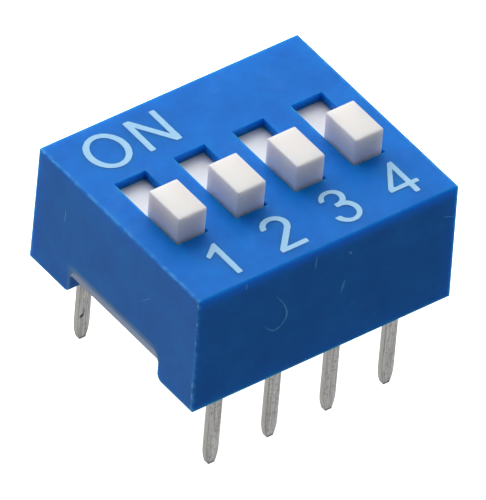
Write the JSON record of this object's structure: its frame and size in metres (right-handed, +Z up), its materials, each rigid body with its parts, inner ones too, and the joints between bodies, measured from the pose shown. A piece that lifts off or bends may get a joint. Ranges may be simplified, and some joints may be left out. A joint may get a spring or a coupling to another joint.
{
  "type": "DIP slide switch",
  "caption": "Through-hole slide switch block: white knobs in windowed blue housing, each sliding between an ON side and a numbered side, over two rows of flat pins.",
  "frame": {"origin": "centre of the two rows of pins, on the seating plane that the cover's feet stand on", "axes": "+Z up out of the board towards the knobs; +Y from the numbered side to the ON side; +X from position 1 to position 4"},
  "size_m": [0.0112, 0.0096, 0.01],
  "materials": {
    "blue_pbt": "satin moulded polyester",
    "base_pbt": "satin moulded polyester",
    "print_ink": "pad-printed pale blue ink",
    "epoxy": "cast sealing resin, slightly glossy",
    "tinned_strip": "matte tin plate on copper alloy strip",
    "white_nylon": "satin moulded nylon",
    "gold_plated_spring": "gold-plated bronze spring strip"
  },
  "bodies": {
    "housing": {"cover": "blue_pbt", "base": "base_pbt", "resin_seal": "epoxy", "terminal_1": "tinned_strip", "terminal_2": "tinned_strip", "terminal_3": "tinned_strip", "terminal_4": "tinned_strip", "terminal_5": "tinned_strip", "terminal_6": "tinned_strip", "terminal_7": "tinned_strip", "terminal_8": "tinned_strip"},
    "switch_1": {"slider_1": "white_nylon", "bridge_contact_1": "gold_plated_spring"},
    "switch_2": {"slider_2": "white_nylon", "bridge_contact_2": "gold_plated_spring"},
    "switch_3": {"slider_3": "white_nylon", "bridge_contact_3": "gold_plated_spring"},
    "switch_4": {"slider_4": "white_nylon", "bridge_contact_4": "gold_plated_spring"}
  },
  "joints": [
    {"name": "slide_1", "type": "slide", "parent": "housing", "child": "switch_1", "axis": [0, 1, 0], "range_m": [0, 0.00173]},
    {"name": "slide_2", "type": "slide", "parent": "housing", "child": "switch_2", "axis": [0, 1, 0], "range_m": [0, 0.00173]},
    {"name": "slide_3", "type": "slide", "parent": "housing", "child": "switch_3", "axis": [0, 1, 0], "range_m": [0, 0.00173]},
    {"name": "slide_4", "type": "slide", "parent": "housing", "child": "switch_4", "axis": [0, 1, 0], "range_m": [0, 0.00173]}
  ]
}
